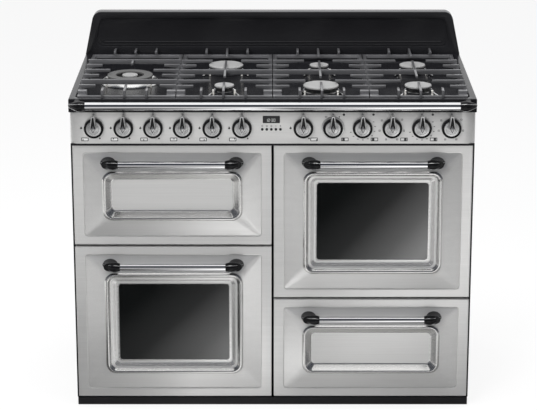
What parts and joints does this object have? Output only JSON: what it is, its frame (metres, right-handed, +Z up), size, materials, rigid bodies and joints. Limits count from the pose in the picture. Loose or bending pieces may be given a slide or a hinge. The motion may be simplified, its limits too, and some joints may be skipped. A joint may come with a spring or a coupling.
{
  "type": "range cooker",
  "caption": "Freestanding dual-fuel range cooker with pressed steel doors and a drawer, gas hob with cast pan supports, chrome rail, knobs and a low backguard.",
  "frame": {"origin": "centre of the bounding box in plan, on the floor under the feet", "axes": "+X to the cooker's right as seen from the front, +Y towards its back, +Z up; the doors face -Y"},
  "size_m": [1.1, 0.642, 1.02],
  "materials": {
    "black_enamel": "gloss enamel",
    "black_paint": "satin",
    "brushed_steel": "brushed along its length",
    "zinc_steel": "galvanised",
    "cavity_enamel": "gloss enamel with fine fleck",
    "chrome": "polished",
    "element_steel": "dark heat-stained",
    "seal_rubber": "matte",
    "oven_glass": "dark tinted",
    "black_plastic": "gloss",
    "knob_silver": "satin metallised",
    "button_steel": "satin",
    "burner_alloy": "satin, polished rims",
    "cap_enamel": "matte enamel",
    "igniter_ceramic": "glazed",
    "cast_iron": "matte black enamel",
    "pipe_alloy": "plain"
  },
  "bodies": {
    "cooker": {"side_panels": "black_enamel", "chassis_panels": "zinc_steel", "front_frame": "black_paint", "plinth": "black_paint", "levelling_feet": "zinc_steel", "grill_cavity": "cavity_enamel", "left_oven_cavity": "cavity_enamel", "right_oven_cavity": "cavity_enamel", "door_seals": "seal_rubber", "heating_elements": "element_steel", "shelf_ladders": "chrome", "fan_unit": "zinc_steel", "drawer_runners": "zinc_steel", "control_panel": "brushed_steel", "clock_and_switches": "black_plastic", "gas_manifold": "pipe_alloy", "hob_top": "black_enamel", "backguard": "black_enamel", "burner_bodies": "burner_alloy", "burner_caps": "cap_enamel", "igniters": "igniter_ceramic", "front_rail": "chrome"},
    "grill_door": {"grill_door_skin": "brushed_steel", "grill_door_liner": "cavity_enamel", "grill_door_handle": "chrome"},
    "left_door": {"left_door_skin": "brushed_steel", "left_door_liner": "cavity_enamel", "left_door_handle": "chrome", "left_door_glass": "oven_glass"},
    "right_door": {"right_door_skin": "brushed_steel", "right_door_liner": "cavity_enamel", "right_door_handle": "chrome", "right_door_glass": "oven_glass"},
    "drawer": {"drawer_skin": "brushed_steel", "drawer_box": "cavity_enamel", "drawer_handle": "chrome"},
    "gas_knob_1": {"gas_knob_1": "knob_silver"},
    "gas_knob_2": {"gas_knob_2": "knob_silver"},
    "gas_knob_3": {"gas_knob_3": "knob_silver"},
    "gas_knob_4": {"gas_knob_4": "knob_silver"},
    "gas_knob_5": {"gas_knob_5": "knob_silver"},
    "gas_knob_6": {"gas_knob_6": "knob_silver"},
    "gas_knob_7": {"gas_knob_7": "knob_silver"},
    "oven_knob_1": {"oven_knob_1": "knob_silver"},
    "oven_knob_2": {"oven_knob_2": "knob_silver"},
    "oven_knob_3": {"oven_knob_3": "knob_silver"},
    "oven_knob_4": {"oven_knob_4": "knob_silver"},
    "oven_knob_5": {"oven_knob_5": "knob_silver"},
    "clock_button_1": {"clock_button_1": "button_steel"},
    "clock_button_2": {"clock_button_2": "button_steel"},
    "clock_button_3": {"clock_button_3": "button_steel"},
    "clock_button_4": {"clock_button_4": "button_steel"},
    "clock_button_5": {"clock_button_5": "button_steel"},
    "pan_support_1": {"pan_support_1": "cast_iron"},
    "pan_support_2": {"pan_support_2": "cast_iron"},
    "pan_support_3": {"pan_support_3": "cast_iron"},
    "pan_support_4": {"pan_support_4": "cast_iron"},
    "left_shelf": {"left_shelf": "chrome"},
    "right_shelf": {"right_shelf": "chrome"},
    "fan_impeller": {"fan_impeller": "zinc_steel"}
  },
  "joints": [
    {"name": "grill_door_hinge", "type": "hinge", "parent": "cooker", "child": "grill_door", "pos_m": [-0.274, -0.245, 0.4845], "axis": [1, 0, 0], "range_deg": [0, 90]},
    {"name": "left_door_hinge", "type": "hinge", "parent": "cooker", "child": "left_door", "pos_m": [-0.274, -0.245, 0.037], "axis": [1, 0, 0], "range_deg": [0, 85]},
    {"name": "right_door_hinge", "type": "hinge", "parent": "cooker", "child": "right_door", "pos_m": [0.274, -0.245, 0.331], "axis": [1, 0, 0], "range_deg": [0, 90]},
    {"name": "drawer_slide", "type": "slide", "parent": "cooker", "child": "drawer", "axis": [0, 1, 0], "range_m": [-0.35, 0]},
    {"name": "gas_knob_1_turn", "type": "hinge", "parent": "cooker", "child": "gas_knob_1", "pos_m": [-0.483, -0.271, 0.813], "axis": [0, -1, 0], "range_deg": [0, 210]},
    {"name": "gas_knob_2_turn", "type": "hinge", "parent": "cooker", "child": "gas_knob_2", "pos_m": [-0.403, -0.271, 0.813], "axis": [0, -1, 0], "range_deg": [0, 210]},
    {"name": "gas_knob_3_turn", "type": "hinge", "parent": "cooker", "child": "gas_knob_3", "pos_m": [-0.323, -0.271, 0.813], "axis": [0, -1, 0], "range_deg": [0, 210]},
    {"name": "gas_knob_4_turn", "type": "hinge", "parent": "cooker", "child": "gas_knob_4", "pos_m": [-0.243, -0.271, 0.813], "axis": [0, -1, 0], "range_deg": [0, 210]},
    {"name": "gas_knob_5_turn", "type": "hinge", "parent": "cooker", "child": "gas_knob_5", "pos_m": [-0.163, -0.271, 0.813], "axis": [0, -1, 0], "range_deg": [0, 210]},
    {"name": "gas_knob_6_turn", "type": "hinge", "parent": "cooker", "child": "gas_knob_6", "pos_m": [-0.083, -0.271, 0.813], "axis": [0, -1, 0], "range_deg": [0, 210]},
    {"name": "gas_knob_7_turn", "type": "hinge", "parent": "cooker", "child": "gas_knob_7", "pos_m": [0.083, -0.271, 0.813], "axis": [0, -1, 0], "range_deg": [0, 210]},
    {"name": "oven_knob_1_turn", "type": "hinge", "parent": "cooker", "child": "oven_knob_1", "pos_m": [0.163, -0.271, 0.813], "axis": [0, 1, 0], "range_deg": [0, 290]},
    {"name": "oven_knob_2_turn", "type": "hinge", "parent": "cooker", "child": "oven_knob_2", "pos_m": [0.243, -0.271, 0.813], "axis": [0, 1, 0], "range_deg": [0, 290]},
    {"name": "oven_knob_3_turn", "type": "hinge", "parent": "cooker", "child": "oven_knob_3", "pos_m": [0.323, -0.271, 0.813], "axis": [0, 1, 0], "range_deg": [0, 290]},
    {"name": "oven_knob_4_turn", "type": "hinge", "parent": "cooker", "child": "oven_knob_4", "pos_m": [0.403, -0.271, 0.813], "axis": [0, 1, 0], "range_deg": [0, 290]},
    {"name": "oven_knob_5_turn", "type": "hinge", "parent": "cooker", "child": "oven_knob_5", "pos_m": [0.483, -0.271, 0.813], "axis": [0, 1, 0], "range_deg": [0, 290]},
    {"name": "clock_button_1_push", "type": "slide", "parent": "cooker", "child": "clock_button_1", "axis": [0, 1, 0], "range_m": [0, 0.0015], "stiffness_N_per_m": 400, "springref_m": -0.002},
    {"name": "clock_button_2_push", "type": "slide", "parent": "cooker", "child": "clock_button_2", "axis": [0, 1, 0], "range_m": [0, 0.0015], "stiffness_N_per_m": 400, "springref_m": -0.002},
    {"name": "clock_button_3_push", "type": "slide", "parent": "cooker", "child": "clock_button_3", "axis": [0, 1, 0], "range_m": [0, 0.0015], "stiffness_N_per_m": 400, "springref_m": -0.002},
    {"name": "clock_button_4_push", "type": "slide", "parent": "cooker", "child": "clock_button_4", "axis": [0, 1, 0], "range_m": [0, 0.0015], "stiffness_N_per_m": 400, "springref_m": -0.002},
    {"name": "clock_button_5_push", "type": "slide", "parent": "cooker", "child": "clock_button_5", "axis": [0, 1, 0], "range_m": [0, 0.0015], "stiffness_N_per_m": 400, "springref_m": -0.002},
    {"name": "pan_support_1_lift", "type": "slide", "parent": "cooker", "child": "pan_support_1", "axis": [0, 0, 1], "range_m": [0, 0.06]},
    {"name": "pan_support_2_lift", "type": "slide", "parent": "cooker", "child": "pan_support_2", "axis": [0, 0, 1], "range_m": [0, 0.06]},
    {"name": "pan_support_3_lift", "type": "slide", "parent": "cooker", "child": "pan_support_3", "axis": [0, 0, 1], "range_m": [0, 0.06]},
    {"name": "pan_support_4_lift", "type": "slide", "parent": "cooker", "child": "pan_support_4", "axis": [0, 0, 1], "range_m": [0, 0.06]},
    {"name": "left_shelf_slide", "type": "slide", "parent": "cooker", "child": "left_shelf", "axis": [0, -1, 0], "range_m": [0, 0.2375]},
    {"name": "right_shelf_slide", "type": "slide", "parent": "cooker", "child": "right_shelf", "axis": [0, -1, 0], "range_m": [0, 0.2514]},
    {"name": "fan_spin", "type": "hinge", "parent": "cooker", "child": "fan_impeller", "pos_m": [0.274, 0.165, 0.543], "axis": [0, 1, 0], "continuous": true}
  ],
  "couplings": [
    {"joint": "left_shelf_slide", "follows": "left_door_hinge", "m_per_rad": 0.16},
    {"joint": "right_shelf_slide", "follows": "right_door_hinge", "m_per_rad": 0.16}
  ]
}
